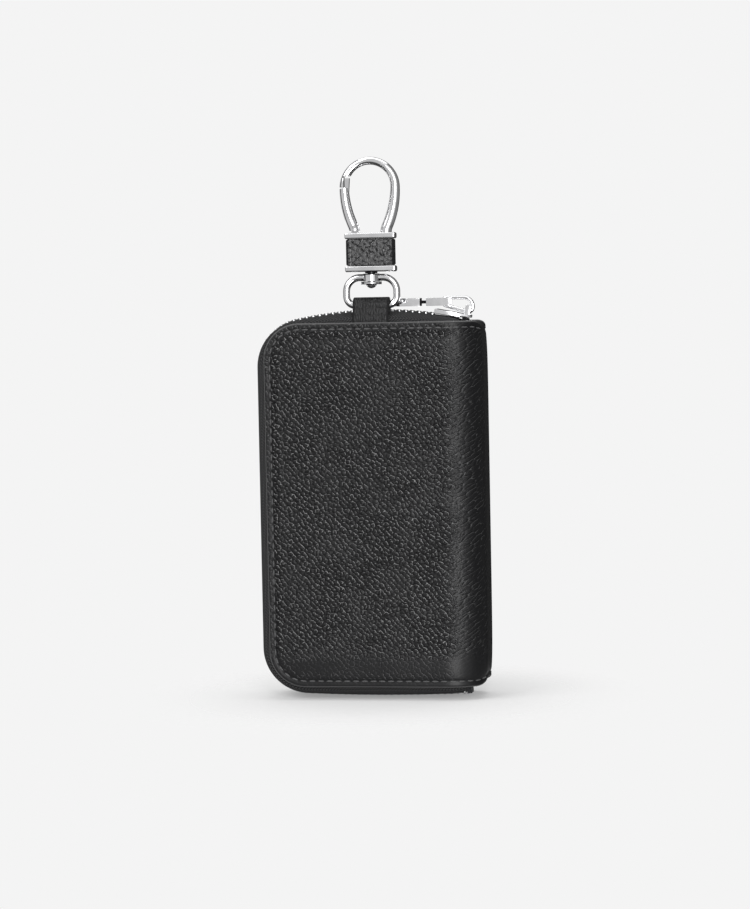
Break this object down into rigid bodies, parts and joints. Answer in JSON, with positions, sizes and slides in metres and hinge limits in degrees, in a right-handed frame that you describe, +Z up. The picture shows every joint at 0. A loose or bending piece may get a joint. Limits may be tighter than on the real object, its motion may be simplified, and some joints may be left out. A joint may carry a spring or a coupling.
{
  "type": "key case",
  "caption": "Zip-round black leather key case hanging from a sprung pear hook on a swivel ring, opening on its spine to a row of key hooks and a card pocket.",
  "frame": {"origin": "hang point, on the inside of the hook's bow at its top", "axes": "X to the spine, Y to the back cover, Z up along the hanging case"},
  "size_m": [0.0755, 0.028, 0.1781],
  "materials": {
    "black_leather": "pebbled, semi-matt",
    "lining_leather": "smooth matt",
    "fibre_board": "pressed fibre",
    "zip_tape": "woven herringbone",
    "zip_metal": "bright nickel",
    "bright_metal": "polished nickel plate",
    "spring_steel": "drawn wire"
  },
  "bodies": {
    "hook": {"hook_bow": "bright_metal", "hook_frame": "bright_metal", "leather_sleeve": "black_leather", "swivel_rivet": "bright_metal", "gate_pin": "bright_metal", "gate_spring": "spring_steel"},
    "gate": {"gate": "bright_metal"},
    "ring": {"swivel_ring": "bright_metal"},
    "front": {"front_panel": "black_leather", "front_board": "fibre_board", "front_lining": "lining_leather", "front_tape": "zip_tape", "front_teeth": "zip_metal", "front_stops": "zip_metal", "hanger_tab": "black_leather", "card_pocket": "lining_leather"},
    "back": {"back_panel": "black_leather", "back_board": "fibre_board", "back_lining": "lining_leather", "back_tape": "zip_tape", "back_teeth": "zip_metal", "back_stops": "zip_metal", "key_rail": "bright_metal", "key_rod": "bright_metal", "rail_rivets": "bright_metal"},
    "slider": {"slider": "bright_metal"},
    "link": {"pull_link": "bright_metal"},
    "pull": {"pull_bar": "bright_metal"},
    "key_hook_1": {"key_hook_1": "bright_metal"},
    "key_hook_2": {"key_hook_2": "bright_metal"},
    "key_hook_3": {"key_hook_3": "bright_metal"},
    "key_hook_4": {"key_hook_4": "bright_metal"},
    "key_hook_5": {"key_hook_5": "bright_metal"},
    "key_hook_6": {"key_hook_6": "bright_metal"}
  },
  "joints": [
    {"name": "swivel", "type": "hinge", "parent": "hook", "child": "ring", "pos_m": [0, 0, -0.0353], "axis": [0, 0, 1], "continuous": true},
    {"name": "gate_open", "type": "hinge", "parent": "hook", "child": "gate", "pos_m": [-0.00518, 0, -0.0202], "axis": [0, 1, 0], "range_deg": [0, 28], "stiffness_Nm_per_rad": 0.004, "springref_deg": -28.65},
    {"name": "tab_swing", "type": "hinge", "parent": "ring", "child": "front", "pos_m": [0, 0, -0.04595], "axis": [1, 0, 0], "range_deg": [-100, 25]},
    {"name": "case_open", "type": "hinge", "parent": "front", "child": "back", "pos_m": [0.0357, 0.0085, -0.11145], "axis": [0, 0, -1], "range_deg": [0, 120]},
    {"name": "slider_travel", "type": "hinge", "parent": "back", "child": "slider", "pos_m": [0, 0.0085, -0.18145], "axis": [0, 1, 0], "range_deg": [-19, 0], "deforming": ["front_teeth", "back_teeth"]},
    {"name": "link_swing", "type": "hinge", "parent": "slider", "child": "link", "pos_m": [0.03089, 0.0085, -0.04734], "axis": [0, 1, 0], "range_deg": [0, 100]},
    {"name": "pull_swing", "type": "hinge", "parent": "link", "child": "pull", "pos_m": [0.02369, 0.0085, -0.04524], "axis": [0, 1, 0], "range_deg": [0, 100]},
    {"name": "key_hook_1_swing", "type": "hinge", "parent": "back", "child": "key_hook_1", "pos_m": [-0.01992, 0.0157, -0.07095], "axis": [-1, 0, 0], "range_deg": [0, 90]},
    {"name": "key_hook_2_swing", "type": "hinge", "parent": "back", "child": "key_hook_2", "pos_m": [-0.01195, 0.0157, -0.07095], "axis": [-1, 0, 0], "range_deg": [0, 90]},
    {"name": "key_hook_3_swing", "type": "hinge", "parent": "back", "child": "key_hook_3", "pos_m": [-0.00398, 0.0157, -0.07095], "axis": [-1, 0, 0], "range_deg": [0, 90]},
    {"name": "key_hook_4_swing", "type": "hinge", "parent": "back", "child": "key_hook_4", "pos_m": [0.00398, 0.0157, -0.07095], "axis": [-1, 0, 0], "range_deg": [0, 90]},
    {"name": "key_hook_5_swing", "type": "hinge", "parent": "back", "child": "key_hook_5", "pos_m": [0.01195, 0.0157, -0.07095], "axis": [-1, 0, 0], "range_deg": [0, 90]},
    {"name": "key_hook_6_swing", "type": "hinge", "parent": "back", "child": "key_hook_6", "pos_m": [0.01992, 0.0157, -0.07095], "axis": [-1, 0, 0], "range_deg": [0, 90]}
  ]
}
